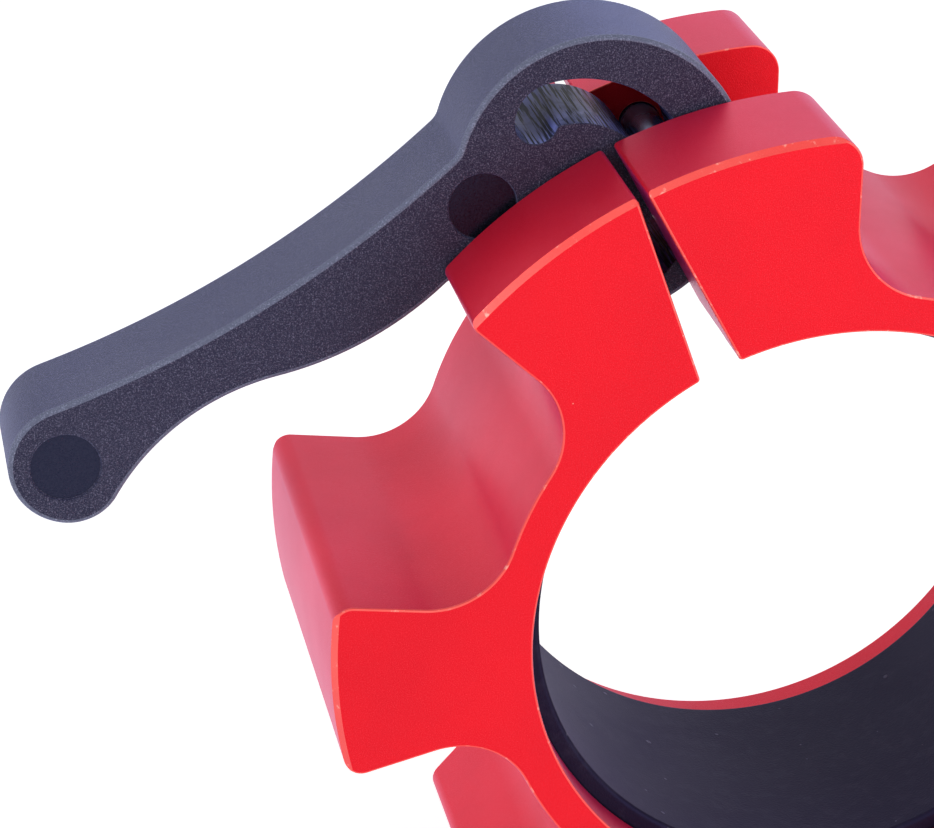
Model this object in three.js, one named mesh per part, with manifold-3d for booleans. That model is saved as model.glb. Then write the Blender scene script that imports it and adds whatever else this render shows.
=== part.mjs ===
// Barbell collar: a lobed, split clamp ring that a cam lever draws closed on the bar.
// Millimetres, +Z up. The bore runs along Y, the plate face lies at y = 0 and the front at -Y.
// The ring stands on two of its lobes, with the split and the lever at the upper left.
import * as THREE from 'three';
import { mergeVertices } from 'three/addons/utils/BufferGeometryUtils.js';
import Module from 'manifold-3d';

// Bar and bore
const sleeveDiameter = 50;
const sleeveFit = 0.8;
const linerProud = 1.6;

// Clamp ring
const ringWidth = 36.3;
const ringWall = 3.35;
const lobeHeight = 13.95;
const splitLobeRight = 24.05;
const splitLobeLeft = 23.45;
const plainLobeSpan = 21.5;
const lobePitch = 55.2;
const lobePairs = 2;
const lobeCornerRadius = 1.6;
const splitCornerRight = 2.6;
const splitCornerLeft = 0.8;
const valleyFillet = 6.9;
const turnedChamfer = 0.5;
const edgeBreak = 0.18;
const boreChamfer = 0.25;

// Split through the wide lobe, set a little towards the lever's arm
const gapOuter = 1.02;
const gapInner = 3.64;
const gapOffset = 0.49;
const gapOuterRound = 0.4;
const gapInnerRound = 0.4;

// Ears and the slot that the lever works in
const frontEar = 12.5;
const leverThickness = 10.8;
const leverFrontPlay = 0.45;
const leverRearPlay = 1.35;
const slotFloorLift = 0.8;
const pocketClearance = 0.5;

// Steel pins, pressed in from the plate face
const pinDiameter = 3.5;
const pinChamfer = 0.3;
const pinSeatGap = 0.1;
const pinRunGap = 0.18;
const pinRecess = 0.3;
const pinBlindDepth = 9;
const pivotDepth = 3.1;
const pivotSetback = 4.81;
const camPinDepth = 4.5;
const camPinSetback = 3.89;

// Rubber liner, a strip in a shallow groove
const linerRim = 4.65;
const linerSeat = 0.6;
const linerGap = 0.3;
const linerChamfer = 0.35;
const linerEndAngle = 27;

// Lever, laid out from its pivot with the arm towards -X
const armLength = 48.68;
const tipRadius = 4.48;
const crownRadius = 5.48;
const crownLean = 50.3;
const backRadius = 98.4;
const backPlace = 34.94;
const backHeight = 4.49;
const bellyRadius = 29.56;
const bellyPlace = 21.74;
const bellyDrop = 2.68;
const neckRadius = 21.1;
const headRadius = 12.72;
const headShift = 2.83;
const headLift = 0.48;
const notchFillet = 2;
const throatFillet = 3;
const leverEdge = 0.55;
const pinInSlotAngle = 10.32;
const slotOpenAngle = 66;
const slotClosedAngle = 90;
const slotEndRadius = 7.85;
const slotEndWidth = 3.71;
const slotEndBlend = 3.5;
const slotLipRadius = 0.6;

// Round marks of the mould on the lever's front face
const markDepth = 0.3;
const tipMarkDiameter = 6.1;
const tipMarkLift = 0.93;
const headMarkDiameter = 5.95;
const headMarkPlace = 7.17;
const headMarkLift = 3.39;

// Fineness of the curves, and the overrun of every cut
const chordError = 0.014;
const widestStep = 20;
const overrun = 2;
const weld = 0.0001;

// Sizes that follow from these
const linerRadius = (sleeveDiameter + sleeveFit) / 2;
const boreRadius = linerRadius + linerProud;
const valleyRadius = boreRadius + ringWall;
const outerRadius = valleyRadius + lobeHeight;
const earSlotWidth = leverThickness + leverFrontPlay + leverRearPlay;
const rearEar = ringWidth - frontEar - earSlotWidth;
const pinRadius = pinDiameter / 2;
const pivot = onSetback(outerRadius - pivotDepth, -pivotSetback);
const camPin = onSetback(outerRadius - camPinDepth, camPinSetback);
const camRadius = pivot.distanceTo(camPin);
const headCentre = new THREE.Vector2(headShift, headLift);
const backCentre = new THREE.Vector2(-backPlace, backRadius + backHeight);
const crownSpoke = polar(new THREE.Vector2(), crownRadius - tipRadius, rad(crownLean));
const crownCentre = lowestAt(crownSpoke.x - armLength, backCentre, backRadius + crownRadius);
const tipCentre = crownCentre.clone().sub(crownSpoke);
const leverTurn = camPin.clone().sub(pivot).angle() + rad(pinInSlotAngle);
const pinEnd = rearEar + earSlotWidth + pinBlindDepth;

const wasm = await Module();
wasm.setup();

function rad(degrees) {
  return THREE.MathUtils.degToRad(degrees);
}

// A point at this radius from the bore axis, this far to one side of the split line
function onSetback(radius, setback) {
  return new THREE.Vector2(setback, Math.sqrt(radius * radius - setback * setback));
}

function polar(centre, radius, angle) {
  const spoke = new THREE.Vector2(Math.cos(angle), Math.sin(angle));
  return spoke.multiplyScalar(radius).add(centre);
}

// The point of a circle's lower half that has this x
function lowestAt(x, centre, radius) {
  const across = x - centre.x;
  return new THREE.Vector2(x, centre.y - Math.sqrt(radius * radius - across * across));
}

// Where two circles cross, to the left (+1) or right (-1) of the line from a to b
function crossing(a, radiusA, b, radiusB, side) {
  const line = b.clone().sub(a);
  const span = line.length();
  const along = (span * span + radiusA * radiusA - radiusB * radiusB) / (2 * span);
  const across = Math.sqrt(radiusA * radiusA - along * along) * side;
  line.divideScalar(span);
  const left = new THREE.Vector2(-line.y, line.x);
  return a.clone().addScaledVector(line, along).addScaledVector(left, across);
}

// Adds an arc between two angles, anticlockwise (+1) or clockwise (-1)
function addArc(points, centre, radius, from, to, turn) {
  const sweep = THREE.MathUtils.euclideanModulo((to - from) * turn, 2 * Math.PI);
  const step = Math.min(Math.sqrt(8 * chordError / radius), rad(widestStep));
  const count = Math.max(1, Math.ceil(sweep / step));
  for (let i = 0; i <= count; i += 1) {
    const point = polar(centre, radius, from + turn * sweep * i / count);
    if (!points.length || point.distanceTo(points.at(-1)) > weld) {
      points.push(point);
    }
  }
}

// Adds the arc of a circle that runs between two points on it
function addArcBetween(points, centre, radius, start, end, turn) {
  const from = start.clone().sub(centre).angle();
  const to = end.clone().sub(centre).angle();
  addArc(points, centre, radius, from, to, turn);
}

function circle(centre, radius) {
  const points = [];
  addArc(points, centre, radius, 0, Math.PI, 1);
  addArc(points, centre, radius, Math.PI, 0, 1);
  return points.slice(0, -1);
}

// Where a circle round b touches the line of centres from b to a
function touch(a, b, radiusB) {
  return a.clone().sub(b).setLength(radiusB).add(b);
}

// A prism from z = low to high with its end edges cut back
function prism(outline, low, high, chamfer) {
  const shape = new THREE.Shape(outline);
  const geometry = new THREE.ExtrudeGeometry(shape, {
    depth: high - low - 2 * chamfer,
    bevelEnabled: chamfer > 0,
    bevelThickness: chamfer,
    bevelSize: chamfer,
    bevelOffset: -chamfer,
    bevelSegments: 1,
  });
  return geometry.translate(0, 0, low + chamfer);
}

// A solid of revolution round Z from [radius, height] pairs
function turned(profile) {
  const points = profile.map(([radius, height]) => new THREE.Vector2(radius, height));
  const widest = Math.max(...points.map((point) => point.x));
  const steps = Math.ceil(2 * Math.PI / Math.min(Math.sqrt(8 * chordError / widest), rad(widestStep)));
  return new THREE.LatheGeometry(points, steps).rotateX(Math.PI / 2);
}

function toSolid(geometry) {
  const bare = new THREE.BufferGeometry();
  bare.setAttribute('position', geometry.getAttribute('position'));
  bare.setIndex(geometry.index);
  const merged = mergeVertices(bare, weld);
  return new wasm.Manifold(new wasm.Mesh({
    numProp: 3,
    vertProperties: new Float32Array(merged.getAttribute('position').array),
    triVerts: new Uint32Array(merged.index.array),
  }));
}

function toGeometry(solid) {
  const mesh = solid.getMesh();
  const geometry = new THREE.BufferGeometry();
  geometry.setAttribute('position', new THREE.BufferAttribute(mesh.vertProperties, 3));
  geometry.setIndex(new THREE.BufferAttribute(mesh.triVerts, 1));
  return geometry;
}

// Angle that a rounded corner of the outer circle takes up
function cornerAngle(radius) {
  return Math.asin(radius / (outerRadius - radius));
}

// One lobe between two angles, with filleted roots and a rounded corner at each side
function addLobe(points, start, end, cornerIn, cornerOut) {
  const axis = new THREE.Vector2();
  const rootRadius = valleyRadius + valleyFillet;
  const rootAngle = Math.asin(valleyFillet / rootRadius);
  const quarter = Math.PI / 2;
  const rootIn = polar(axis, rootRadius, start - rootAngle);
  addArc(points, rootIn, valleyFillet, start - rootAngle + Math.PI, start + quarter, -1);
  const arcStart = start + cornerAngle(cornerIn);
  const arcEnd = end - cornerAngle(cornerOut);
  addArc(points, polar(axis, outerRadius - cornerIn, arcStart), cornerIn, start - quarter, arcStart, 1);
  addArc(points, axis, outerRadius, arcStart, arcEnd, 1);
  addArc(points, polar(axis, outerRadius - cornerOut, arcEnd), cornerOut, arcEnd, end + quarter, 1);
  const rootOut = polar(axis, rootRadius, end + rootAngle);
  addArc(points, rootOut, valleyFillet, end - quarter, end + rootAngle + Math.PI, -1);
  return { first: start - rootAngle, last: end + rootAngle };
}

// The ring's outline: a wide lobe at the split and plain lobes at an even pitch opposite it
function ringOutline() {
  const splitCorners = [splitCornerRight, splitCornerLeft];
  const lobes = [{ centre: 90, sides: [splitLobeRight, splitLobeLeft], corners: splitCorners }];
  const plainSides = [plainLobeSpan / 2, plainLobeSpan / 2];
  const plainCorners = [lobeCornerRadius, lobeCornerRadius];
  for (let i = lobePairs; i >= -lobePairs; i -= 1) {
    lobes.push({ centre: 270 - i * lobePitch, sides: plainSides, corners: plainCorners });
  }
  const points = [];
  const axis = new THREE.Vector2();
  let valleyStart = null;
  let ringStart = null;
  for (const lobe of lobes) {
    const start = rad(lobe.centre - lobe.sides[0]);
    const end = rad(lobe.centre + lobe.sides[1]);
    const rootAngle = Math.asin(valleyFillet / (valleyRadius + valleyFillet));
    if (valleyStart !== null) {
      addArc(points, axis, valleyRadius, valleyStart, start - rootAngle, 1);
    }
    const roots = addLobe(points, start, end, ...lobe.corners);
    ringStart = ringStart ?? roots.first;
    valleyStart = roots.last;
  }
  addArc(points, axis, valleyRadius, valleyStart, ringStart, 1);
  if (points.at(-1).distanceTo(points[0]) < weld) {
    points.pop();
  }
  return points;
}

// Corner of the split's face with a circle round the bore axis: centre of its rounding
function gapCorner(half, circleRadius, round, inward) {
  const reach = circleRadius + inward * round;
  const across = half + round;
  return new THREE.Vector2(across, Math.sqrt(reach * reach - across * across));
}

// Right-hand edge of the gap cutter, from inside the bore to outside the ring
function gapSide(outerHalf, innerHalf) {
  const axis = new THREE.Vector2();
  const inner = gapCorner(innerHalf, boreRadius, gapInnerRound, 1);
  const outer = gapCorner(outerHalf, outerRadius, gapOuterRound, -1);
  const points = [inner.clone().setLength(boreRadius - overrun)];
  addArc(points, inner, gapInnerRound, inner.angle() + Math.PI, Math.PI, -1);
  addArc(points, outer, gapOuterRound, Math.PI, outer.angle(), -1);
  points.push(polar(axis, outerRadius + overrun, outer.angle()));
  return points;
}

function gapCutter() {
  const right = gapSide(gapOuter / 2 - gapOffset, gapInner / 2 - gapOffset);
  const left = gapSide(gapOuter / 2 + gapOffset, gapInner / 2 + gapOffset);
  const mirrored = left.reverse().map((point) => new THREE.Vector2(-point.x, point.y));
  return prism([...right, ...mirrored], -overrun, ringWidth + overrun, 0);
}

// The lever's slot: a flat floor right across the wide lobe
function slotCutter() {
  const half = outerRadius * Math.sin(rad(splitLobeRight)) + overrun;
  const floor = valleyRadius + slotFloorLift;
  const outline = [
    new THREE.Vector2(-half, floor),
    new THREE.Vector2(half, floor),
    new THREE.Vector2(half, outerRadius + overrun),
    new THREE.Vector2(-half, outerRadius + overrun),
  ];
  return prism(outline, rearEar, rearEar + earSlotWidth, 0);
}

// The round pocket under the slot that the lever's head turns in
function pocketCutter() {
  const reach = headCentre.length() + headRadius + pocketClearance;
  return prism(circle(pivot, reach), rearEar, rearEar + earSlotWidth, 0);
}

function boreCutter() {
  const low = linerRim - linerGap;
  const high = ringWidth - low;
  const grooveRadius = boreRadius + linerSeat;
  return turned([
    [0, -overrun],
    [boreRadius + boreChamfer + overrun, -overrun],
    [boreRadius, boreChamfer],
    [boreRadius, low],
    [grooveRadius, low],
    [grooveRadius, high],
    [boreRadius, high],
    [boreRadius, ringWidth - boreChamfer],
    [boreRadius + boreChamfer + overrun, ringWidth + overrun],
    [0, ringWidth + overrun],
  ]);
}

// The blank is turned to its diameter first, with a chamfer at each end
function turnedBlank() {
  const narrow = outerRadius - turnedChamfer - overrun;
  const wide = outerRadius + overrun;
  const shoulder = turnedChamfer + overrun;
  return turned([
    [0, -overrun],
    [narrow, -overrun],
    [wide, shoulder],
    [wide, ringWidth - shoulder],
    [narrow, ringWidth + overrun],
    [0, ringWidth + overrun],
  ]);
}

function pinHole(place) {
  return prism(circle(place, pinRadius + pinSeatGap), -overrun, pinEnd, 0);
}

function clampBody() {
  const cuts = [boreCutter(), gapCutter(), slotCutter(), pocketCutter(), pinHole(pivot), pinHole(camPin)];
  const lobed = toSolid(prism(ringOutline(), 0, ringWidth, edgeBreak));
  const blank = lobed.intersect(toSolid(turnedBlank()));
  return toGeometry(cuts.reduce((body, cut) => body.subtract(toSolid(cut)), blank));
}

// The strip reaches round the bore and stops short of the pocket at both ends
function liner() {
  const axis = new THREE.Vector2();
  const start = rad(90 + linerEndAngle);
  const end = rad(90 - linerEndAngle);
  const points = [];
  addArc(points, axis, boreRadius + linerSeat - linerGap, start, end, 1);
  addArc(points, axis, linerRadius, end, start, -1);
  return prism(points, linerRim, ringWidth - linerRim, linerChamfer);
}

function pin() {
  return turned([
    [0, pinRecess],
    [pinRadius - pinChamfer, pinRecess],
    [pinRadius, pinRecess + pinChamfer],
    [pinRadius, pinEnd - pinRecess - pinChamfer],
    [pinRadius - pinChamfer, pinEnd - pinRecess],
    [0, pinEnd - pinRecess],
  ]);
}

// Lever outline, anticlockwise: head, notch, back of the arm, tip, neck, belly and throat
function leverOutline() {
  const tip = tipCentre;
  const back = backCentre;
  const crown = crownCentre;
  const belly = new THREE.Vector2(-bellyPlace, bellyRadius - bellyDrop);
  const neck = crossing(tip, tipRadius + neckRadius, belly, bellyRadius + neckRadius, -1);
  const notch = crossing(headCentre, headRadius + notchFillet, back, backRadius - notchFillet, 1);
  const throat = crossing(headCentre, headRadius + throatFillet, belly, bellyRadius + throatFillet, 1);
  const throatHead = touch(throat, headCentre, headRadius);
  const headNotch = touch(notch, headCentre, headRadius);
  const notchBack = touch(notch, back, backRadius);
  const backCrown = touch(back, crown, crownRadius);
  const crownTip = touch(tip, crown, crownRadius);
  const tipNeck = touch(neck, tip, tipRadius);
  const neckBelly = touch(neck, belly, bellyRadius);
  const bellyThroat = touch(throat, belly, bellyRadius);
  const points = [];
  addArcBetween(points, headCentre, headRadius, throatHead, headNotch, 1);
  addArcBetween(points, notch, notchFillet, headNotch, notchBack, -1);
  addArcBetween(points, back, backRadius, notchBack, backCrown, -1);
  addArcBetween(points, crown, crownRadius, backCrown, crownTip, 1);
  addArcBetween(points, tip, tipRadius, crownTip, tipNeck, 1);
  addArcBetween(points, neck, neckRadius, tipNeck, neckBelly, -1);
  addArcBetween(points, belly, bellyRadius, neckBelly, bellyThroat, 1);
  addArcBetween(points, throat, throatFillet, bellyThroat, throatHead, -1);
  return points.slice(0, -1);
}

// The cam slot round the pivot: round at its open end, drawn in to a seat at its closed end
function camSlot() {
  const axis = new THREE.Vector2();
  const half = pinRadius + pinRunGap;
  const outer = camRadius + half;
  const inner = camRadius - half;
  const open = rad(-slotOpenAngle);
  const openEnd = polar(axis, camRadius, open);
  const seatRadius = slotEndWidth / 2;
  const seat = polar(axis, slotEndRadius, rad(slotClosedAngle));
  const blend = crossing(axis, outer - slotEndBlend, seat, slotEndBlend - seatRadius, -1);
  const lip = crossing(axis, inner - slotLipRadius, seat, seatRadius + slotLipRadius, -1);
  const outerBlend = blend.clone().setLength(outer);
  const blendSeat = seat.clone().sub(blend).setLength(slotEndBlend).add(blend);
  const seatLip = touch(lip, seat, seatRadius);
  const lipInner = lip.clone().setLength(inner);
  const points = [];
  addArc(points, openEnd, half, open + Math.PI, open, 1);
  addArcBetween(points, axis, outer, polar(axis, outer, open), outerBlend, 1);
  addArcBetween(points, blend, slotEndBlend, outerBlend, blendSeat, 1);
  addArcBetween(points, seat, seatRadius, blendSeat, seatLip, 1);
  addArcBetween(points, lip, slotLipRadius, seatLip, lipInner, -1);
  addArcBetween(points, axis, inner, lipInner, polar(axis, inner, open), -1);
  return points.slice(0, -1);
}

function lever() {
  const floor = leverThickness - markDepth;
  const pivotHole = circle(new THREE.Vector2(), pinRadius + pinRunGap);
  const tipMarkCentre = new THREE.Vector2(tipCentre.x, tipCentre.y + tipMarkLift);
  const tipMark = circle(tipMarkCentre, tipMarkDiameter / 2);
  const headMark = circle(new THREE.Vector2(-headMarkPlace, headMarkLift), headMarkDiameter / 2);
  const cuts = [
    prism(camSlot(), -overrun, leverThickness + overrun, 0),
    prism(pivotHole, -overrun, leverThickness + overrun, 0),
    prism(tipMark, floor, leverThickness + overrun, 0),
    prism(headMark, floor, leverThickness + overrun, 0),
  ];
  const blank = toSolid(prism(leverOutline(), 0, leverThickness, leverEdge));
  return toGeometry(cuts.reduce((body, cut) => body.subtract(toSolid(cut)), blank));
}

function piece(name, geometry, color, roughness, metalness) {
  const material = new THREE.MeshStandardMaterial({ color, roughness, metalness, flatShading: true });
  const mesh = new THREE.Mesh(geometry, material);
  mesh.name = name;
  return mesh;
}

const ring = new THREE.Group();
ring.add(piece('clamp_body', clampBody(), 0xd81f2d, 0.5, 0.6));
ring.add(piece('liner', liner(), 0x2b2b36, 0.85, 0));

for (const [name, place] of [['pivot_pin', pivot], ['cam_pin', camPin]]) {
  const dowel = piece(name, pin(), 0x6d7078, 0.25, 1);
  dowel.position.set(place.x, place.y, 0);
  ring.add(dowel);
}

const camLever = piece('lever', lever(), 0x34374a, 0.6, 0);
camLever.position.set(pivot.x, pivot.y, rearEar + leverRearPlay);
camLever.rotation.z = leverTurn;
ring.add(camLever);

// Turned so that the valley between two plain lobes faces down
ring.rotation.z = rad(lobePitch / 2);

const collar = new THREE.Group();
collar.add(ring);
collar.rotation.x = Math.PI / 2;

export default collar;
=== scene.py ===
import math

import bmesh
import bpy
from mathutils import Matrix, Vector


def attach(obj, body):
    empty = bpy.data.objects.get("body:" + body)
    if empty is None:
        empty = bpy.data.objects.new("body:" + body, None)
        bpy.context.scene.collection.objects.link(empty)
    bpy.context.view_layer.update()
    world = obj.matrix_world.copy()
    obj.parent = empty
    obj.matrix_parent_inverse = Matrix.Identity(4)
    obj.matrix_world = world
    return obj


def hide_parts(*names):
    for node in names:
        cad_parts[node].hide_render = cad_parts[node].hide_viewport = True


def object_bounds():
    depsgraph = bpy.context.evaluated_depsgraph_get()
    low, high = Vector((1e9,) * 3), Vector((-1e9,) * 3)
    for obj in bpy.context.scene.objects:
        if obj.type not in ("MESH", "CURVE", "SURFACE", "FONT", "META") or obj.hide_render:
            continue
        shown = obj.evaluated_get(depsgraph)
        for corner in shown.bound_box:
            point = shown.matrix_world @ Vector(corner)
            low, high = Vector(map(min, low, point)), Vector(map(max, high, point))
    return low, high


# Barbell collar: a lobed clamp ring, its rubber grip liner, two steel dowels and a nylon cam lever.
# Sizes are in millimetres and degrees, and mm turns them into Blender's metres.
# The pieces are drawn with the split pointing up, seen from the front, and then laid over.
# Depths, such as near and far, are counted from the plate side to the front.

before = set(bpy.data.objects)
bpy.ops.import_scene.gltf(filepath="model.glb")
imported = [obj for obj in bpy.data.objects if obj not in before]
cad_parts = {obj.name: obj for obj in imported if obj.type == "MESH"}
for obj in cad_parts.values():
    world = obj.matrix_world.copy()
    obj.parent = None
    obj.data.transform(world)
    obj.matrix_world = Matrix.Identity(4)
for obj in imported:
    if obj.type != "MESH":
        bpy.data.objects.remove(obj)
cadLow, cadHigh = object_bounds()
mm = 0.001
origin = Vector((0, 0))             # of a drawing: the bore's axis, or the lever's pivot

# places that more than one piece needs
layout = {
    "width": 36.3,                  # of the ring, along the bar
    "boreRadius": 27,               # of the bare metal
    "valleyRadius": 30.35,
    "outerRadius": 44.3,
    "layOver": 27.6,                # the split leans this far to the left
    "rearEar": 11.2,                # its thickness, along the bar
    "slotWidth": 12.6,              # between the rear ear and the front one
    "dowelRadius": 1.75,
    "pivot": (3.1, -4.81),          # how far under the outer circle, and how far right of the split
    "cam": (4.5, 3.89),
}

# how finely everything is drawn
drawing = {
    "fineness": 0.002,              # the facets of an arc stand off it by no more than this
    "shortest": 0.001,              # a shorter straight line than this isn't drawn
    "weld": 0.002,                  # points of an outline closer than this become one
    "weldCut": 0.004,               # and points of a piece that has been cut
    "level": 0.0001,                # an edge whose ends differ in depth by less lies in a face
    "overrun": 3,                   # a cutter stands this far out of what it cuts
}


def tell(stage):
    print("collar:", stage)


def rad(degrees):
    return math.radians(degrees)


def polar(centre, radius, degrees):
    turn = rad(degrees)
    return Vector((centre[0] + radius * math.cos(turn), centre[1] + radius * math.sin(turn)))


def bearing(centre, point):
    return math.degrees(math.atan2(point[1] - centre[1], point[0] - centre[0]))


def offSplit(depth, side):
    # a point this deep under the outer circle and this far to one side of the split
    radius = layout["outerRadius"] - depth
    return Vector((side, math.sqrt(radius ** 2 - side ** 2)))


def crossing(a, radiusA, b, radiusB, side):
    # where two circles cross, left (1) or right (-1) of the line from a to b
    line = b - a
    span = line.length
    along = (span ** 2 + radiusA ** 2 - radiusB ** 2) / (2 * span)
    across = math.sqrt(radiusA ** 2 - along ** 2) * side
    line.normalize()
    return a + line * along + Vector((-line.y, line.x)) * across


def fromAxis(point):
    # how far a point of a mesh is from the bore's axis, in metres
    return Vector((point.x, point.z)).length


def use(piece):
    bpy.ops.object.select_all(action="DESELECT")
    piece.select_set(True)
    bpy.context.view_layer.objects.active = piece


def added(name):
    # the primitive that was just added, with its place applied to its mesh
    piece = bpy.context.object
    piece.name = name
    piece.data.name = name
    bpy.ops.object.transform_apply(location=True, rotation=True, scale=True)
    return piece


def pullTo(pen, place):
    step = (place - pen) * mm
    if step.length > drawing["shortest"] * mm:
        bpy.ops.mesh.extrude_region_move(TRANSFORM_OT_translate={"value": (step.x, 0, step.y)})


def drawSolid(name, arcs, near, far):
    # one vertex is swung round each arc's centre and pulled straight on to the next arc,
    # then the closed outline is filled and pulled out from the plate side to the front
    # an arc is (centre, radius, first bearing, last bearing, 1 anticlockwise or -1 clockwise)
    bpy.ops.object.select_all(action="DESELECT")
    pen = polar(*arcs[0][:3])
    bpy.ops.mesh.primitive_plane_add(size=mm, location=(pen.x * mm, -near * mm, pen.y * mm))
    piece = added(name)
    bpy.ops.object.mode_set(mode="EDIT")
    bpy.ops.mesh.select_mode(type="VERT")
    bpy.ops.mesh.merge(type="CENTER")
    for centre, radius, first, last, way in arcs:
        pullTo(pen, polar(centre, radius, first))
        sweep = ((last - first) * way) % 360
        count = max(2, math.ceil(rad(sweep) / math.sqrt(8 * drawing["fineness"] / radius)))
        bpy.ops.mesh.spin(
            steps=count, angle=rad(sweep * way), center=(centre[0] * mm, -near * mm, centre[1] * mm),
            axis=(0, 1, 0), use_auto_merge=False)
        pen = polar(centre, radius, last)
    pullTo(pen, polar(*arcs[0][:3]))
    bpy.ops.mesh.select_all(action="SELECT")
    bpy.ops.mesh.remove_doubles(threshold=drawing["weld"] * mm)
    bpy.ops.mesh.edge_face_add()
    bpy.ops.mesh.extrude_region_move(TRANSFORM_OT_translate={"value": (0, (near - far) * mm, 0)})
    bpy.ops.mesh.select_all(action="SELECT")
    bpy.ops.mesh.normals_make_consistent(inside=False)
    bpy.ops.object.mode_set(mode="OBJECT")
    return piece


def pick(piece, kind, wanted):
    # opens a piece in edit mode and selects the edges or faces that wanted is true of
    use(piece)
    bpy.ops.object.mode_set(mode="EDIT")
    bpy.ops.mesh.select_mode(type=kind)
    bpy.ops.mesh.select_all(action="DESELECT")
    mesh = bmesh.from_edit_mesh(piece.data)
    for part in mesh.edges if kind == "EDGE" else mesh.faces:
        if wanted(part):
            part.select_set(True)
    bmesh.update_edit_mesh(piece.data)


def onFace(edge):
    # true of an edge that lies in one of a drawn piece's two faces
    return abs(edge.verts[0].co.y - edge.verts[1].co.y) < drawing["level"] * mm


def placeOf(piece, finish):
    # of a material among the piece's own; with none given, a bevel keeps what lies beside it
    return piece.data.materials.find(finish.name) if finish else -1


def bevelEdges(piece, wanted, width, steps, finish=None):
    pick(piece, "EDGE", wanted)
    bpy.ops.mesh.bevel(
        offset=width * mm, segments=steps, profile=0.5, clamp_overlap=False,
        material=placeOf(piece, finish))
    bpy.ops.object.mode_set(mode="OBJECT")


def assignFinish(piece, wanted, finish):
    # gives the faces that wanted is true of another of the piece's materials
    pick(piece, "FACE", wanted)
    piece.active_material_index = placeOf(piece, finish)
    bpy.ops.object.material_slot_assign()
    bpy.ops.object.mode_set(mode="OBJECT")


def disc(name, centre, radius, near, far, facets, bevel=0, bevelSteps=1):
    # a round bar along the bore, with its two rims bevelled
    bpy.ops.object.select_all(action="DESELECT")
    bpy.ops.mesh.primitive_cylinder_add(
        vertices=facets, radius=radius * mm, depth=(far - near) * mm, rotation=(rad(90), 0, 0),
        location=(centre[0] * mm, -(near + far) / 2 * mm, centre[1] * mm))
    piece = added(name)
    if bevel:
        bevelEdges(piece, onFace, bevel, bevelSteps)
    return piece


def carve(piece, cutter, operation="DIFFERENCE"):
    use(piece)
    cut = piece.modifiers.new("carve", "BOOLEAN")
    cut.operation = operation
    cut.solver = "EXACT"
    cut.object = cutter
    bpy.ops.object.modifier_apply(modifier=cut.name)
    bpy.data.objects.remove(cutter)


def layOver(piece, degrees, pivot=(0, 0)):
    # turns a drawn piece anticlockwise, seen from the front, and puts its origin on pivot
    use(piece)
    piece.rotation_euler = (0, -rad(degrees), 0)
    piece.location = (pivot[0] * mm, 0, pivot[1] * mm)
    bpy.ops.object.transform_apply(location=True, rotation=True)


def breakEdges(piece, width, steps, angle=32, finish=None):
    # rounds every edge that is sharper than angle
    use(piece)
    bpy.ops.object.mode_set(mode="EDIT")
    bpy.ops.mesh.select_all(action="SELECT")
    bpy.ops.mesh.remove_doubles(threshold=drawing["weldCut"] * mm)
    bpy.ops.object.mode_set(mode="OBJECT")
    soft = piece.modifiers.new("broken edges", "BEVEL")
    soft.width = width * mm
    soft.segments = steps
    soft.limit_method = "ANGLE"
    soft.angle_limit = rad(angle)
    soft.use_clamp_overlap = False
    soft.material = placeOf(piece, finish)
    bpy.ops.object.modifier_apply(modifier=soft.name)


def smoothShade(piece, angle=35):
    use(piece)
    bpy.ops.object.shade_smooth_by_angle(angle=rad(angle), keep_sharp_edges=False)
    even = piece.modifiers.new("even shading", "WEIGHTED_NORMAL")
    even.mode = "FACE_AREA"
    even.weight = 100
    even.keep_sharp = True
    bpy.ops.object.modifier_apply(modifier=even.name)


def node(tree, kind, values=None, **settings):
    # a new node, with its sockets linked or set
    made = tree.nodes.new("ShaderNode" + kind)
    for setting, value in settings.items():
        setattr(made, setting, value)
    for socket, value in (values or {}).items():
        if isinstance(value, bpy.types.NodeSocket):
            tree.links.new(value, made.inputs[socket])
        else:
            made.inputs[socket].default_value = value
    return made


def feed(tree, target, values):
    # links values that change over the surface to the sockets of a node
    for socket, value in values.items():
        tree.links.new(value, target.inputs[socket])


def maths(tree, operation, a, b, clamped=False):
    return node(tree, "Math", {0: a, 1: b}, operation=operation, use_clamp=clamped).outputs[0]


def times(tree, a, b):
    return maths(tree, "MULTIPLY", a, b)


def between(tree, value, low, high):
    # spreads a value of 0 to 1 from low to high
    return node(tree, "MapRange", {"Value": value, "To Min": low, "To Max": high}).outputs["Result"]


def within(tree, value, low, high):
    # 0 where a value is at low, and 1 where it is at high
    return node(tree, "MapRange", {"Value": value, "From Min": low, "From Max": high}).outputs["Result"]


def objectPlace(tree):
    return node(tree, "TexCoord").outputs["Object"]


def perMetre(tree, size):
    # a texture's scale from a size in millimetres
    return maths(tree, "DIVIDE", 1000, size)


def noise(tree, place, size, detail, roughness):
    return node(tree, "TexNoise", {
        "Vector": place,
        "Scale": perMetre(tree, size),
        "Detail": detail,
        "Roughness": roughness,
    }).outputs["Fac"]


def newGroup(name, inputs, output):
    group = bpy.data.node_groups.new(name, "ShaderNodeTree")
    for label, value in inputs.items():
        socket = group.interface.new_socket(label, in_out="INPUT", socket_type="NodeSocketFloat")
        socket.default_value = value
    group.interface.new_socket(output, in_out="OUTPUT", socket_type="NodeSocketFloat")
    return group, group.nodes.new("NodeGroupInput").outputs, group.nodes.new("NodeGroupOutput")


def useGroup(tree, group, **values):
    return node(tree, "Group", values, node_tree=group).outputs[0]


def grainGroup():
    # even small bumps, such as blasting or a spark-eroded mould leaves
    group, given, out = newGroup("fine grain", {"Size": 0.2, "Softness": 0.5}, "Grain")
    bumps = noise(group, objectPlace(group), given["Size"], 2, given["Softness"])
    feed(group, out, {"Grain": within(group, bumps, 0.3, 0.7)})
    return group


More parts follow.
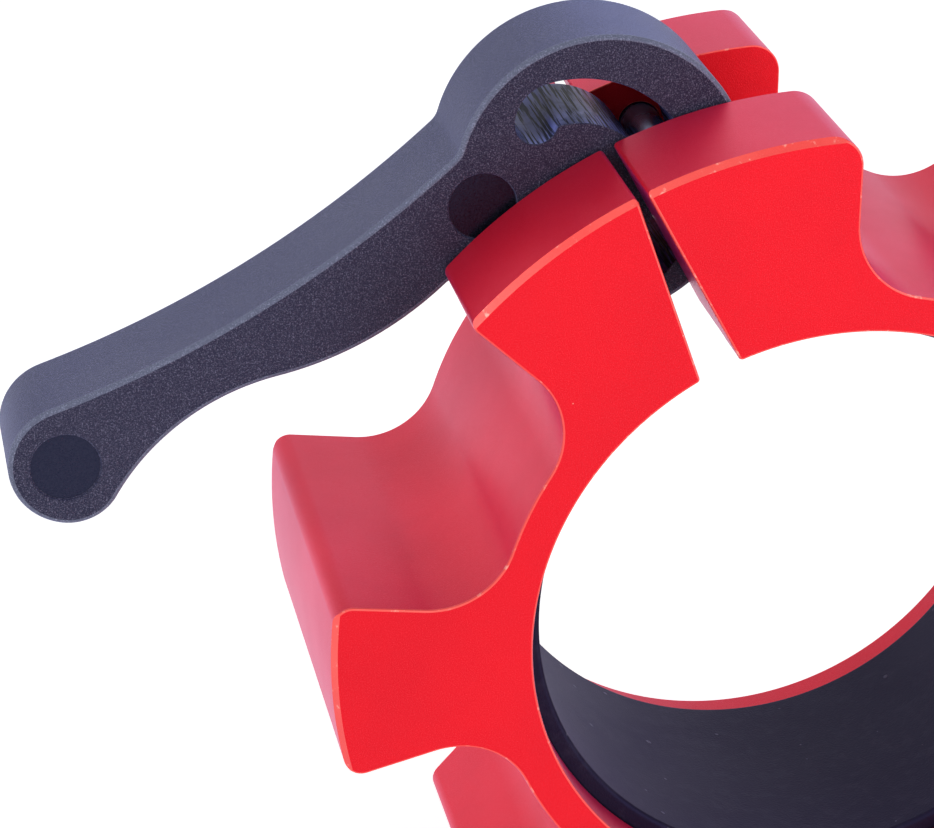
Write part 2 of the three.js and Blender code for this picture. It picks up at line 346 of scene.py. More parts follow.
def cloudGroup():
    # slow changes over a surface, such as haze and handling
    group, given, out = newGroup("slow clouds", {"Size": 12, "Low": 0.4, "High": 0.65}, "Cloud")
    drift = noise(group, objectPlace(group), given["Size"], 4, 0.6)
    feed(group, out, {"Cloud": within(group, drift, given["Low"], given["High"])})
    return group


def speckGroup():
    # a few round specks: one in each chosen cell, each with its own size
    group, given, out = newGroup("loose specks", {"Spacing": 2, "Share": 0.3, "Radius": 0.1}, "Speck")
    cells = node(group, "TexVoronoi", {
        "Vector": objectPlace(group),
        "Scale": perMetre(group, given["Spacing"]),
    }).outputs
    chance = node(group, "SeparateColor", {"Color": cells["Color"]}).outputs
    chosen = maths(group, "LESS_THAN", chance["Red"], given["Share"])
    reach = maths(group, "DIVIDE", given["Radius"], given["Spacing"])
    size = times(group, reach, between(group, chance["Green"], 0.3, 1))
    dot = times(group, within(group, cells["Distance"], size, 0), chosen)
    feed(group, out, {"Speck": maths(group, "MULTIPLY", dot, 3, True)})
    return group


def streakGroup():
    # long marks along the bore, such as a cutter leaves on the sides it runs down
    group, given, out = newGroup("long streaks", {"Size": 1.5, "Stretch": 0.04}, "Streak")
    along = node(group, "CombineXYZ", {"X": 1, "Y": given["Stretch"], "Z": 1}).outputs[0]
    drawn = node(group, "VectorMath", {0: objectPlace(group), 1: along}, operation="MULTIPLY").outputs[0]
    feed(group, out, {"Streak": noise(group, drawn, given["Size"], 3, 0.55)})
    return group


grain, clouds, specks, streaks = grainGroup(), cloudGroup(), speckGroup(), streakGroup()
sheenRoughness = 0.4                # of the soft bloom on every finish that has one


def newMaterial(name, values):
    material = bpy.data.materials.new(name)
    material.use_nodes = True
    shader = material.node_tree.nodes["Principled BSDF"]
    for socket, value in values.items():
        shader.inputs[socket].default_value = value
    return material, material.node_tree, shader


def blend(tree, amount, below, above):
    # lays one colour over another by a mask; a Mix node has its colours at 6 and 7, and out at 2
    return node(tree, "Mix", {0: amount, 6: below, 7: above}, data_type="RGBA").outputs[2]


def bumped(tree, shader, heights):
    # adds up (value, height in millimetres) pairs into one bump
    total = None
    for value, height in heights:
        rise = times(tree, value, height * mm)
        total = rise if total is None else maths(tree, "ADD", total, rise)
    bump = node(tree, "Bump", {"Height": total, "Distance": 1, "Strength": 1})
    feed(tree, shader, {"Normal": bump.outputs["Normal"]})


redFinish = {
    "colour": (0.80, 0.005, 0.005, 1),
    "deep": (0.68, 0.004, 0.005, 1),        # where the dye is thicker
    "deepShare": 0.6,
    "paintedGlint": (1.0, 0.08, 0.11, 1),        # painted glints, on the tops of the blasting
    "paintedGlintShare": 0.35,
    "paintedGlintFocus": 3,                      # a higher value leaves fewer painted glints
    "paintedHighlight": (1.0, 0.17, 0.13, 1),           # painted highlight, on broken edges and the turned chamfer
    "paintedHighlightShare": (0.45, 0.75),
    "bare": (0.95, 0.42, 0.34, 1),          # in nicks and specks
    "nickShare": 0.7,
    "speckShare": 0.6,
    "speckSpacing": 3.2,
    "speckHeight": 0.01,
    "metallic": 0.48,
    "gloss": 0.3,
    "glossTint": (1.0, 0.15, 0.85, 1),
    "coat": (0.75, 1.0),                    # between the pits and the tops of the blasting
    "coatIor": 1.18,
    "coatRoughness": 0.36,
    "sheen": 0.17,
    "sheenTint": (0.45, 0.15, 1.0, 1),
    "roughness": (0.38, 0.46),
    "grainSize": 0.10,
    "grainHeight": 0.013,
    "toolHeight": 0.012,                    # of the cutter's marks under the blasting
}


def makeRed(name, edge):
    # blasted and anodised aluminium with painted glints; on its broken edges and turned chamfer a
    # lighter colour is painted as a highlight, and the dye is nicked through
    material, tree, shader = newMaterial(name, {
        "Metallic": redFinish["metallic"],
        "Specular IOR Level": redFinish["gloss"],
        "Specular Tint": redFinish["glossTint"],
        "Coat IOR": redFinish["coatIor"],
        "Coat Roughness": redFinish["coatRoughness"],
        "Sheen Weight": redFinish["sheen"],
        "Sheen Tint": redFinish["sheenTint"],
        "Sheen Roughness": sheenRoughness,
    })
    blasted = useGroup(tree, grain, Size=redFinish["grainSize"], Softness=0.6)
    haze = useGroup(tree, clouds, Size=14, Low=0.35, High=0.7)
    tool = useGroup(tree, streaks, Size=2.2, Stretch=0.03)
    dots = useGroup(tree, specks, Spacing=redFinish["speckSpacing"], Share=0.16, Radius=0.11)
    # painted glints: the tops of the blasting are lightened in colour
    glint = maths(tree, "POWER", blasted, redFinish["paintedGlintFocus"], True)
    dye = blend(tree, times(tree, haze, redFinish["deepShare"]), redFinish["colour"], redFinish["deep"])
    dye = blend(tree, times(tree, glint, redFinish["paintedGlintShare"]), dye, redFinish["paintedGlint"])
    if edge:
        nicks = useGroup(tree, clouds, Size=0.8, Low=0.60, High=0.70)
        # painted highlight on broken edges and the turned chamfer, patchy with the haze
        dye = blend(tree, between(tree, haze, *redFinish["paintedHighlightShare"]), dye, redFinish["paintedHighlight"])
        dye = blend(tree, times(tree, nicks, redFinish["nickShare"]), dye, redFinish["bare"])
    dye = blend(tree, times(tree, dots, redFinish["speckShare"]), dye, redFinish["bare"])
    feed(tree, shader, {
        "Base Color": dye,
        "Roughness": between(tree, haze, *redFinish["roughness"]),
        "Coat Weight": between(tree, blasted, *redFinish["coat"]),
    })
    bumped(tree, shader, (
        (blasted, redFinish["grainHeight"]),
        (tool, redFinish["toolHeight"]),
        (dots, redFinish["speckHeight"]),
    ))
    return material


nylonFinish = {
    "colour": (0.004, 0.003, 0.009, 1),
    "light": (0.18, 0.17, 0.25, 1),         # painted glints, on the tops of the grain
    "glintFocus": 3.5,                      # a higher value leaves fewer painted glints
    "dust": (0.45, 0.45, 0.52, 1),
    "dustShare": 0.5,
    "dustHeight": 0.03,
    "gloss": 0.42,
    "glossTint": (0.45, 0.48, 1.0, 1),
    "coat": 0.38,
    "coatIor": 1.24,
    "coatRoughness": 0.42,
    "sheen": 0.62,
    "sheenTint": (0.33, 0.39, 1.0, 1),
    "roughness": (0.40, 0.54),
    "grainSize": 0.125,
    "grainSoftness": 0.7,
    "grainHeight": 0.045,
    # painted highlight on the rounded edges: lighter colours than on the faces
    "paintedEdgeHighlight": (0.100, 0.108, 0.155, 1),
    "paintedEdgeGlint": (0.30, 0.32, 0.44, 1),
    "edgeHeight": 0.012,                    # of the grain that is left on rounded edges
    "markColour": (0.001, 0.002, 0.006, 1),
    "markGlintShare": 0.08,                      # share of the painted glint colour on its faint grain
    "markRoughness": (0.14, 0.22),
    "markHeight": 0.012,
    "markDustHeight": 0.02,
    "slotColour": (0.002, 0.005, 0.030, 1),
    # painted reflection: the bright blue between the slot wall's dark lines
    "slotPaintedReflection": (0.20, 0.235, 0.60, 1),
    "slotGloss": 0.06,
    "slotLines": (0.46, 0.54),              # streaks under the first are dark, over the second painted with the reflection
    "slotRoughness": (0.42, 0.24),          # in the dark lines, and between them
    "slotHeight": 0.07,
}


def startNylon(name, bloom=1, gloss=nylonFinish["gloss"]):
    # bloom is the share of the pale bloom that grained nylon shows at a low angle
    return newMaterial(name, {
        "Specular IOR Level": gloss,
        "Specular Tint": nylonFinish["glossTint"],
        "Coat Weight": nylonFinish["coat"] * bloom,
        "Coat IOR": nylonFinish["coatIor"],
        "Coat Roughness": nylonFinish["coatRoughness"],
        "Sheen Weight": nylonFinish["sheen"] * bloom,
        "Sheen Tint": nylonFinish["sheenTint"],
        "Sheen Roughness": sheenRoughness,
    })


def nylonGrain(tree):
    return useGroup(tree, grain, Size=nylonFinish["grainSize"], Softness=nylonFinish["grainSoftness"])


def makeNylon(name, edge):
    # moulded nylon with the sharp grain of a spark-eroded mould, its tops painted as glints, and a
    # little lint on its rounded edges the grain is rubbed down, and lighter colours are painted there as
    # a highlight
    material, tree, shader = startNylon(name)
    eroded = nylonGrain(tree)
    handled = useGroup(tree, clouds, Size=18, Low=0.35, High=0.7)
    dots = useGroup(tree, specks, Spacing=2.6, Share=0.14, Radius=0.09)
    # painted glints: the tops of the grain are lightened in colour
    glint = maths(tree, "POWER", eroded, nylonFinish["glintFocus"], True)
    # on the rounded edges both colours are a painted highlight
    dark = nylonFinish["paintedEdgeHighlight" if edge else "colour"]
    light = nylonFinish["paintedEdgeGlint" if edge else "light"]
    height = nylonFinish["edgeHeight" if edge else "grainHeight"]
    colour = blend(tree, glint, dark, light)
    colour = blend(tree, times(tree, dots, nylonFinish["dustShare"]), colour, nylonFinish["dust"])
    feed(tree, shader, {
        "Base Color": colour,
        "Roughness": between(tree, handled, *nylonFinish["roughness"]),
    })
    bumped(tree, shader, ((eroded, height), (dots, nylonFinish["dustHeight"])))
    return material


def makeMarkNylon(name):
    # the two round marks are nearly smooth, with a trace of the grain whose tops are painted as faint
    # glints
    material, tree, shader = startNylon(name, 0)
    haze = useGroup(tree, clouds, Size=2.5, Low=0.35, High=0.7)
    faint = nylonGrain(tree)
    dots = useGroup(tree, specks, Spacing=1.7, Share=0.2, Radius=0.08)
    light = nylonFinish["light"]
    colour = blend(tree, times(tree, faint, nylonFinish["markGlintShare"]), nylonFinish["markColour"], light)
    colour = blend(tree, times(tree, dots, nylonFinish["dustShare"]), colour, light)
    feed(tree, shader, {
        "Base Color": colour,
        "Roughness": between(tree, haze, *nylonFinish["markRoughness"]),
    })
    bumped(tree, shader, ((faint, nylonFinish["markHeight"]), (dots, nylonFinish["markDustHeight"])))
    return material


def makeSlotNylon(name):
    # the walls of the cam slot are drawn off a core that left lines along the bore; between the dark
    # lines a bright blue reflection is painted on, in patches
    material, tree, shader = startNylon(name, 0, nylonFinish["slotGloss"])
    drawn = useGroup(tree, streaks, Size=0.24, Stretch=0.03)
    # patches where the painted reflection shows between the lines
    paintedHighlight = useGroup(tree, clouds, Size=3.5, Low=0.2, High=0.5)
    lines = within(tree, drawn, *nylonFinish["slotLines"])
    dark, light = nylonFinish["slotColour"], nylonFinish["slotPaintedReflection"]
    feed(tree, shader, {
        "Base Color": blend(tree, times(tree, lines, paintedHighlight), dark, light),
        "Roughness": between(tree, lines, *nylonFinish["slotRoughness"]),
    })
    bumped(tree, shader, ((drawn, nylonFinish["slotHeight"]),))
    return material


rubberFinish = {
    "colour": (0.006, 0.005, 0.012, 1),
    "dust": (0.15, 0.15, 0.22, 1),
    "filmShare": 0.05,
    "patchShare": 0.07,
    "speckShare": 0.55,
    "speckHeight": 0.03,
    "gloss": 0.35,
    "glossTint": (0.35, 0.30, 0.9, 1),
    "sheen": 0.2,
    "sheenTint": (0.40, 0.30, 1.0, 1),
    "roughness": (0.60, 0.70),
    "grainHeight": 0.014,
}


def makeRubber(name):
    # matt rubber under a film, patches and specks of dust
    material, tree, shader = newMaterial(name, {
        "Specular IOR Level": rubberFinish["gloss"],
        "Specular Tint": rubberFinish["glossTint"],
        "Sheen Weight": rubberFinish["sheen"],
        "Sheen Tint": rubberFinish["sheenTint"],
        "Sheen Roughness": sheenRoughness,
    })
    skin = useGroup(tree, grain, Size=0.18, Softness=0.5)
    film = useGroup(tree, clouds, Size=11, Low=0.4, High=0.9)
    patches = useGroup(tree, clouds, Size=1.6, Low=0.5, High=0.75)
    dots = useGroup(tree, specks, Spacing=2.8, Share=0.8, Radius=0.34)
    colour = rubberFinish["colour"]
    for dust, share in ((film, "filmShare"), (patches, "patchShare"), (dots, "speckShare")):
        colour = blend(tree, times(tree, dust, rubberFinish[share]), colour, rubberFinish["dust"])
    feed(tree, shader, {
        "Base Color": colour,
        "Roughness": between(tree, film, *rubberFinish["roughness"]),
    })
    bumped(tree, shader, ((skin, rubberFinish["grainHeight"]), (dots, rubberFinish["speckHeight"])))
    return material


steelFinish = {
    "colour": (0.22, 0.26, 0.44, 1),
    "oiled": (0.08, 0.095, 0.17, 1),
    "metallic": 0.7,
    "roughness": (0.18, 0.30),      # where it is clean, and where it is oiled
    "groundHeight": 0.004,
}


def makeSteel(name):
    # dowel steel, ground along its length and darkened by oil
    material, tree, shader = newMaterial(name, {"Metallic": steelFinish["metallic"]})
    ground = useGroup(tree, streaks, Size=0.35, Stretch=0.02)
    oil = useGroup(tree, clouds, Size=5, Low=0.4, High=0.65)
    feed(tree, shader, {
        "Base Color": blend(tree, oil, steelFinish["colour"], steelFinish["oiled"]),
        "Roughness": between(tree, oil, *steelFinish["roughness"]),
    })
    bumped(tree, shader, ((ground, steelFinish["groundHeight"]),))
    return material


redAnodised = makeRed("red_anodised", False)
redEdge = makeRed("red_anodised_edge", True)
blackNylon = makeNylon("black_nylon", False)
nylonEdge = makeNylon("black_nylon_edge", True)
nylonMark = makeMarkNylon("black_nylon_mark")
nylonSlot = makeSlotNylon("black_nylon_slot")
blackRubber = makeRubber("black_rubber")
darkSteel = makeSteel("dark_steel")
tell("finishes mixed")

# where the two dowels go
pivotPlace = offSplit(*layout["pivot"])
camPlace = offSplit(*layout["cam"])
overrun = drawing["overrun"]

# clamp ring
ring = {
    "lobes": (                      # bearing of its middle, right half, left half, right and left corner
        (90, 24.05, 23.45, 2.6, 0.8),
        (159.6, 10.75, 10.75, 1.6, 1.6),
        (214.8, 10.75, 10.75, 1.6, 1.6),
        (270, 10.75, 10.75, 1.6, 1.6),
        (325.2, 10.75, 10.75, 1.6, 1.6),
        (20.4, 10.75, 10.75, 1.6, 1.6),
    ),
    "valleyFillet": 6.9,
    "gapRight": (0.02, 1.33),       # off the split line, at the outside and at the bore
    "gapLeft": (1.0, 2.31),
    "gapRound": 0.35,
    "turnedChamfer": 0.5,
    "slotFloorLift": 0.8,           # the slot's floor, over the valleys
    "slotCutter": (50, 20),         # across and high
    "pocketRadius": 16.09,          # round the pivot, for the lever's heel
    "groove": (4.35, 31.95, 27.6),  # near, far and radius
    "dowelHole": (1.85, 32.8),      # radius and far end
    "roundFacets": 360,
    "pocketFacets": 180,
    "holeFacets": 64,
    "rimBreak": 0.2,                # on both faces of the ring, outside and in the bore
    "edgeBreak": 0.13,              # on the slot, the split and the holes
    "edgeAngle": 66,                # these edges are sharper than this
    "edgesFrom": 0.95,              # and lie this far over the valleys, so not on the slot's floor
    "chamferLean": (0.6, 0.8),      # how far the turned chamfer faces along the bore
    "chamferReach": 0.6,            # and how deep it lies under the outer circle
}


def lobeArcs(middle, right, left, cornerRight, cornerLeft):
    # a lobe between its two root fillets, anticlockwise
    outer = layout["outerRadius"]
    fillet = ring["valleyFillet"]
    root = layout["valleyRadius"] + fillet
    rootAngle = math.degrees(math.asin(fillet / root))
    first = middle - right
    last = middle + left
    turnRight = math.degrees(math.asin(cornerRight / (outer - cornerRight)))
    turnLeft = math.degrees(math.asin(cornerLeft / (outer - cornerLeft)))
    rootRight = polar(origin, root, first - rootAngle)
    rootLeft = polar(origin, root, last + rootAngle)
    middleRight = polar(origin, outer - cornerRight, first + turnRight)
    middleLeft = polar(origin, outer - cornerLeft, last - turnLeft)
    return [
        (rootRight, fillet, first - rootAngle + 180, first + 90, -1),
        (middleRight, cornerRight, first - 90, first + turnRight, 1),
        (origin, outer, first + turnRight, last - turnLeft, 1),
        (middleLeft, cornerLeft, last - turnLeft, last + 90, 1),
        (rootLeft, fillet, last - 90, last + rootAngle + 180, -1),
    ]


def gapCorner(across, radius, inward):
    # middle of the small rounding where the gap's side meets the bore or the outside
    reach = radius + inward * ring["gapRound"]
    return Vector((across + ring["gapRound"], math.sqrt(reach ** 2 - (across + ring["gapRound"]) ** 2)))


def ringArcs():
    outer, bore, small = layout["outerRadius"], layout["boreRadius"], ring["gapRound"]
    outerRight = gapCorner(ring["gapRight"][0], outer, -1)
    innerRight = gapCorner(ring["gapRight"][1], bore, 1)
    outerLeft = gapCorner(ring["gapLeft"][0], outer, -1)
    innerLeft = gapCorner(ring["gapLeft"][1], bore, 1)
    outerLeft.x = -outerLeft.x
    innerLeft.x = -innerLeft.x
    # the gap cuts the wide lobe's outer arc in two, so its two halves start and end the outline
    wide = lobeArcs(*ring["lobes"][0])
    wideFirst, wideLast = wide[2][2:4]
    arcs = [
        (outerLeft, small, 0, bearing(origin, outerLeft), 1),
        (origin, outer, bearing(origin, outerLeft), wideLast, 1),
    ]
    arcs += wide[3:]
    for lobe in ring["lobes"][1:]:
        arcs += lobeArcs(*lobe)
    arcs += wide[:2]
    arcs += [
        (origin, outer, wideFirst, bearing(origin, outerRight), 1),
        (outerRight, small, bearing(origin, outerRight), 180, 1),
        (innerRight, small, 180, bearing(origin, innerRight) + 180, 1),
        (origin, bore, bearing(origin, innerRight), bearing(origin, innerLeft), -1),
        (innerLeft, small, bearing(origin, innerLeft) + 180, 360, 1),
    ]
    return withValleys(arcs)


def isRoot(arc):
    # true of the hollow arc where a lobe meets a valley
    centre, radius, first, last, way = arc
    return way == -1 and radius == ring["valleyFillet"]


def withValleys(arcs):
    # adds the valley floor between each root and the next
    full = []
    for arc, after in zip(arcs, arcs[1:] + arcs[:1]):
        full.append(arc)
        if isRoot(arc) and isRoot(after):
            start, stop = bearing(origin, arc[0]), bearing(origin, after[0])
            full.append((origin, layout["valleyRadius"], start, stop, 1))
    return full


def onEar(edge):
    # true of the ring's sharp outward edges above the floor of its slot
    low = min(fromAxis(end.co) for end in edge.verts)
    sharp = edge.is_convex and edge.calc_face_angle() > rad(ring["edgeAngle"])
    return sharp and low > (layout["valleyRadius"] + ring["edgesFrom"]) * mm


def onTurnedChamfer(face):
    least, most = ring["chamferLean"]
    inner = layout["outerRadius"] - ring["chamferReach"]
    return least < abs(face.normal.y) < most and fromAxis(face.calc_center_median()) > inner * mm


width = layout["width"]
clampRing = drawSolid("clamp_ring", ringArcs(), near=0, far=width)
clampRing.data.materials.append(redAnodised)
clampRing.data.materials.append(redEdge)
bevelEdges(clampRing, onFace, ring["rimBreak"], steps=2, finish=redEdge)

# the chamfer is turned by keeping what lies in a larger bar with deeply bevelled rims
blank = disc(
    "blank", origin, layout["outerRadius"] + overrun, -overrun, width + overrun,
    ring["roundFacets"], bevel=2 * overrun + ring["turnedChamfer"])
carve(clampRing, blank, operation="INTERSECT")

slotNear = layout["rearEar"]
slotFar = slotNear + layout["slotWidth"]
slotFloor = layout["valleyRadius"] + ring["slotFloorLift"]
slotAcross, slotHigh = ring["slotCutter"]
bpy.ops.object.select_all(action="DESELECT")
bpy.ops.mesh.primitive_cube_add(
    size=mm, location=(0, -(slotNear + slotFar) / 2 * mm, (slotFloor + slotHigh / 2) * mm),
    scale=(slotAcross, layout["slotWidth"], slotHigh))
carve(clampRing, added("slot"))
carve(clampRing, disc(
    "pocket", pivotPlace, ring["pocketRadius"], slotNear, slotFar, ring["pocketFacets"]))
holeRadius, holeFar = ring["dowelHole"]
for place in (pivotPlace, camPlace):
    carve(clampRing, disc("hole", place, holeRadius, -overrun, holeFar, ring["holeFacets"]))
bevelEdges(clampRing, onEar, ring["edgeBreak"], steps=2, finish=redEdge)
grooveNear, grooveFar, grooveRadius = ring["groove"]
carve(clampRing, disc("groove", origin, grooveRadius, grooveNear, grooveFar, ring["roundFacets"]))
# the turned chamfer takes the edge finish, with its painted highlight
assignFinish(clampRing, onTurnedChamfer, redEdge)
layOver(clampRing, layout["layOver"])
smoothShade(clampRing)
tell("ring cut and its edges broken")

# grip liner
liner = {
    "innerRadius": 25.4,
    "outerRadius": 27.3,
    "near": 4.65,
    "far": 31.65,
    "endBearing": 27,               # each end stops this far from the split
    "edgeRound": 0.45,
}

linerStart = 90 + liner["endBearing"]
linerEnd = 90 - liner["endBearing"]
gripLiner = drawSolid("grip_liner", [
    (origin, liner["outerRadius"], linerStart, linerEnd, 1),
    (origin, liner["innerRadius"], linerEnd, linerStart, -1),
], liner["near"], liner["far"])
gripLiner.data.materials.append(blackRubber)
breakEdges(gripLiner, liner["edgeRound"], steps=4)
layOver(gripLiner, layout["layOver"])
smoothShade(gripLiner)
tell("liner rounded")

# dowels
dowel = {
    "near": 0.3,
    "far": 32.5,
    "rimRound": 0.3,
    "facets": 72,
}

dowels = []
for name, place in (("pivot_dowel", pivotPlace), ("cam_dowel", camPlace)):
    bar = disc(
        name, place, layout["dowelRadius"], dowel["near"], dowel["far"],
        dowel["facets"], bevel=dowel["rimRound"], bevelSteps=3)
    bar.data.materials.append(darkSteel)
    layOver(bar, layout["layOver"])
    smoothShade(bar)
    dowels.append(bar)
tell("dowels turned")

# cam lever, drawn from its pivot with the arm to the left
# its outline is eight arcs, and those without a middle here touch their two neighbours
lever = {
    "thickness": 10.8,
    "rearPlay": 1.35,               # between the rear ear and the lever
    "armRise": 10.32,               # of the drawing, over the line through the two dowels
    "tip": (-48.68, -0.93),
    "tipRadius": 4.48,
    "crownRadius": 5.48,
    "back": (-34.94, 102.89),
    "backRadius": 98.4,
    "belly": (-21.74, 26.88),
    "bellyRadius": 29.56,
    "neckRadius": 21.1,
    "head": (2.83, 0.48),
    "headRadius": 12.72,
    "notchRadius": 2,               # between the head and the back
    "throatRadius": 3,              # between the head and the belly
    "edgeRound": 0.42,
    "slotHalf": 1.93,               # half the cam slot's width
    "slotOpen": -66,                # bearings of its two ends
    "slotClosed": 90,
    "seatPlace": 7.85,              # the seat at its closed end, from the pivot
    "seatRadius": 1.855,
    "seatBlend": 3.5,               # radius that brings the slot's outer side in to the seat
    "seatLip": 0.6,                 # radius where its inner side ends in the seat
    "slotEdge": 0.1,
    "holeFacets": 72,
    "marks": ((-48.68, 0, 3.05), (-7.17, 3.39, 2.975)),     # across, up and radius
    "markDepth": 0.3,
    "markFacets": 96,
    "floorFacing": 0.9,             # a mark's floor faces the front by at least this
    "floorSlack": 0.01,
    "wallFacing": 0.5,              # and the slot's walls by no more than this
    "wallInset": 0.5,               # they lie at least this far inside the head's outline
}


def leverArcs():
    tip, back, belly, head = (Vector(lever[part]) for part in ("tip", "back", "belly", "head"))
    tipRadius, crownRadius, backRadius = lever["tipRadius"], lever["crownRadius"], lever["backRadius"]
    bellyRadius, neckRadius, headRadius = lever["bellyRadius"], lever["neckRadius"], lever["headRadius"]
    notchRadius, throatRadius = lever["notchRadius"], lever["throatRadius"]
    crown = crossing(tip, crownRadius - tipRadius, back, backRadius + crownRadius, -1)
    neck = crossing(tip, tipRadius + neckRadius, belly, bellyRadius + neckRadius, -1)
    notch = crossing(head, headRadius + notchRadius, back, backRadius - notchRadius, 1)
    throat = crossing(head, headRadius + throatRadius, belly, bellyRadius + throatRadius, 1)
    return [
        (head, headRadius, bearing(head, throat), bearing(head, notch), 1),
        (notch, notchRadius, bearing(notch, head), bearing(back, notch), -1),
        (back, backRadius, bearing(back, notch), bearing(back, crown), -1),
        (crown, crownRadius, bearing(crown, back), bearing(crown, tip), 1),
        (tip, tipRadius, bearing(crown, tip), bearing(tip, neck), 1),
        (neck, neckRadius, bearing(neck, tip), bearing(neck, belly), -1),
        (belly, bellyRadius, bearing(belly, neck), bearing(belly, throat), 1),
        (throat, throatRadius, bearing(throat, belly), bearing(throat, head), -1),
    ]


def camSlotArcs():
    # a slot round the pivot, whose outer side bends in to the seat past a small lip
    camRadius = (camPlace - pivotPlace).length
    half, openAt = lever["slotHalf"], lever["slotOpen"]
    bendRadius, seatRadius, lipRadius = lever["seatBlend"], lever["seatRadius"], lever["seatLip"]
    outer, inner = camRadius + half, camRadius - half
    seat = polar(origin, lever["seatPlace"], lever["slotClosed"])
    bend = crossing(origin, outer - bendRadius, seat, bendRadius - seatRadius, -1)
    lip = crossing(origin, inner - lipRadius, seat, seatRadius + lipRadius, -1)
    return [
        (polar(origin, camRadius, openAt), half, openAt + 180, openAt, 1),
        (origin, outer, openAt, bearing(origin, bend), 1),
        (bend, bendRadius, bearing(origin, bend), bearing(bend, seat), 1),
        (seat, seatRadius, bearing(bend, seat), bearing(seat, lip), 1),
        (lip, lipRadius, bearing(lip, seat), bearing(origin, lip), -1),
        (origin, inner, bearing(origin, lip), openAt, -1),
    ]


leverNear = layout["rearEar"] + lever["rearPlay"]
leverFar = leverNear + lever["thickness"]


def onMarkFloor(face):
    offFloor = face.calc_center_median().y + (leverFar - lever["markDepth"]) * mm
    return face.normal.y < -lever["floorFacing"] and abs(offFloor) < lever["floorSlack"] * mm


def inHead(face):
    # true of the walls of the cam slot and of the pivot's hole, but not of the mark beside them
    middle = face.calc_center_median()
    fromHead = (Vector((middle.x, middle.z)) / mm - Vector(lever["head"])).length
    wall = abs(face.normal.y) < lever["wallFacing"]
    deep = middle.y > -(leverFar - 2 * lever["markDepth"]) * mm
    return wall and deep and fromHead < lever["headRadius"] - lever["wallInset"]


camLever = drawSolid("cam_lever_arm", leverArcs(), leverNear, leverFar)
for finish in (blackNylon, nylonEdge, nylonMark, nylonSlot):
    camLever.data.materials.append(finish)
# the rounded edges take the finish with the painted edge highlight
breakEdges(camLever, lever["edgeRound"], steps=5, finish=nylonEdge)
carve(camLever, drawSolid("cam_slot", camSlotArcs(), leverNear - overrun, leverFar + overrun))
carve(camLever, disc(
    "pivot_hole", origin, lever["slotHalf"], leverNear - overrun, leverFar + overrun,
    lever["holeFacets"]))
markFloor = leverFar - lever["markDepth"]
for across, up, markRadius in lever["marks"]:
    carve(camLever, disc(
        "mark", (across, up), markRadius, markFloor, leverFar + overrun, lever["markFacets"]))
breakEdges(camLever, lever["slotEdge"], steps=2, angle=60)
assignFinish(camLever, onMarkFloor, nylonMark)
assignFinish(camLever, inHead, nylonSlot)
layOver(camLever, bearing(pivotPlace, camPlace) + lever["armRise"], pivotPlace)
layOver(camLever, layout["layOver"])
smoothShade(camLever, angle=50)
tell("lever moulded")

# what each piece rides on, stands for and takes its finish from
for piece, body, solid, finish in (
    (clampRing, "clamp", "clamp_body", "red_anodised"),
    (gripLiner, "clamp", "liner", "black_rubber"),
    (dowels[0], "clamp", "pivot_pin", "dark_steel"),
    (dowels[1], "clamp", "cam_pin", "dark_steel"),
    (camLever, "cam_lever", "lever", "black_nylon"),
):
    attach(piece, body)
    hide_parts(solid)

# camera, at the place found from the photograph's outlines
view = {
    "place": (-0.090577, -0.285638, 0.129277),
    "turn": (66.84023, -3.77574, -11.13515),
    "lens": 130.755,
    "sensor": 36,
    "nearest": 0.01,
}

bpy.ops.object.select_all(action="DESELECT")
bpy.ops.object.camera_add(location=view["place"], rotation=[rad(turn) for turn in view["turn"]])
camera = bpy.context.object
camera.name = "camera"
camera.data.lens = view["lens"]
camera.data.sensor_width = view["sensor"]
camera.data.clip_start = view["nearest"]
bpy.context.scene.camera = camera

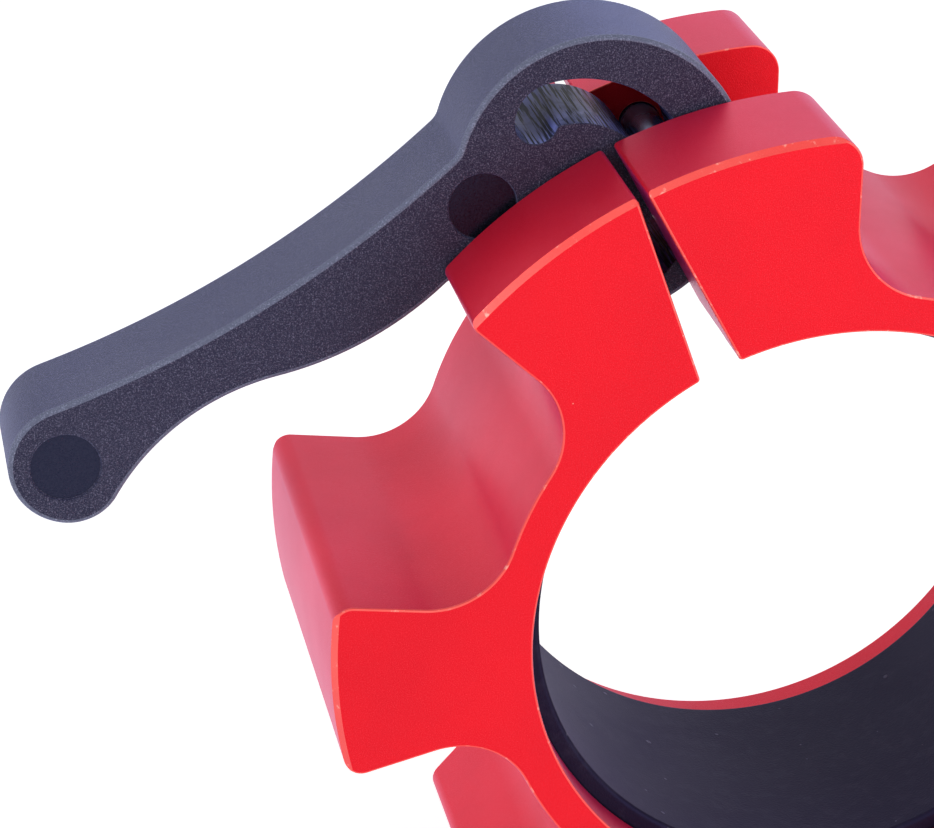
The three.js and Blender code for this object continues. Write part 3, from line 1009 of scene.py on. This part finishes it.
# floor, world and lamps, in metres
studio = {
    "floorSize": 8,
    "floorColour": (0.93, 0.93, 0.93, 1),
    "floorLift": 0.62,              # added to what is seen of the floor, so that it reads as white
    "worldColour": (0.93, 0.95, 1.0, 1),
    "worldStrength": 0.33,
    "lamps": (                      # name, place, size, watts; each faces the middle
        ("key", (0.72, -0.90, 0.34), 0.6, 6.5),
        ("top", (-0.10, 0.10, 0.90), 0.5, 0.6),
        ("fill", (-0.85, -0.40, 0.32), 0.5, 4.0),
    ),
}

bpy.ops.mesh.primitive_plane_add(size=studio["floorSize"], location=(0, 0, cadLow.z))
floor = added("floor")


def seenBright(tree):
    # 1 for what the camera sees, straight, in a gloss or through glass
    path = node(tree, "LightPath").outputs
    seen = maths(tree, "MAXIMUM", path["Is Camera Ray"], path["Is Glossy Ray"])
    return maths(tree, "MAXIMUM", seen, path["Is Transmission Ray"])


# the floor can be looked through from below
paleFloor = bpy.data.materials.new("pale_floor")
paleFloor.use_nodes = True
tree = paleFloor.node_tree
tree.nodes.remove(tree.nodes["Principled BSDF"])
matte = node(tree, "BsdfDiffuse", {"Color": studio["floorColour"]})
lift = node(tree, "Emission", {"Strength": times(tree, seenBright(tree), studio["floorLift"])})
lit = node(tree, "AddShader", {0: matte.outputs[0], 1: lift.outputs[0]})
clear = node(tree, "BsdfTransparent")
under = node(tree, "NewGeometry").outputs["Backfacing"]
oneSided = node(tree, "MixShader", {0: under, 1: lit.outputs[0], 2: clear.outputs[0]})
feed(tree, tree.nodes["Material Output"], {"Surface": oneSided.outputs[0]})
floor.data.materials.append(paleFloor)

# the world lights the object softly, and is white where it is seen
world = bpy.data.worlds.new("studio")
world.use_nodes = True
bpy.context.scene.world = world
tree = world.node_tree
sky = tree.nodes["Background"]
sky.inputs["Color"].default_value = studio["worldColour"]
sky.inputs["Strength"].default_value = studio["worldStrength"]
white = node(tree, "Background", {"Color": (1, 1, 1, 1), "Strength": 1})
shown = node(tree, "MixShader", {0: seenBright(tree), 1: sky.outputs[0], 2: white.outputs[0]})
feed(tree, tree.nodes["World Output"], {"Surface": shown.outputs[0]})

for name, place, size, watts in studio["lamps"]:
    facing = Vector(place).to_track_quat("Z", "Y").to_euler()
    bpy.ops.object.light_add(type="AREA", radius=1, location=place, rotation=facing)
    lamp = bpy.context.object
    lamp.name = name
    lamp.data.size = size
    lamp.data.energy = watts
tell("studio lit")

bpy.context.scene.view_settings.view_transform = "Standard"
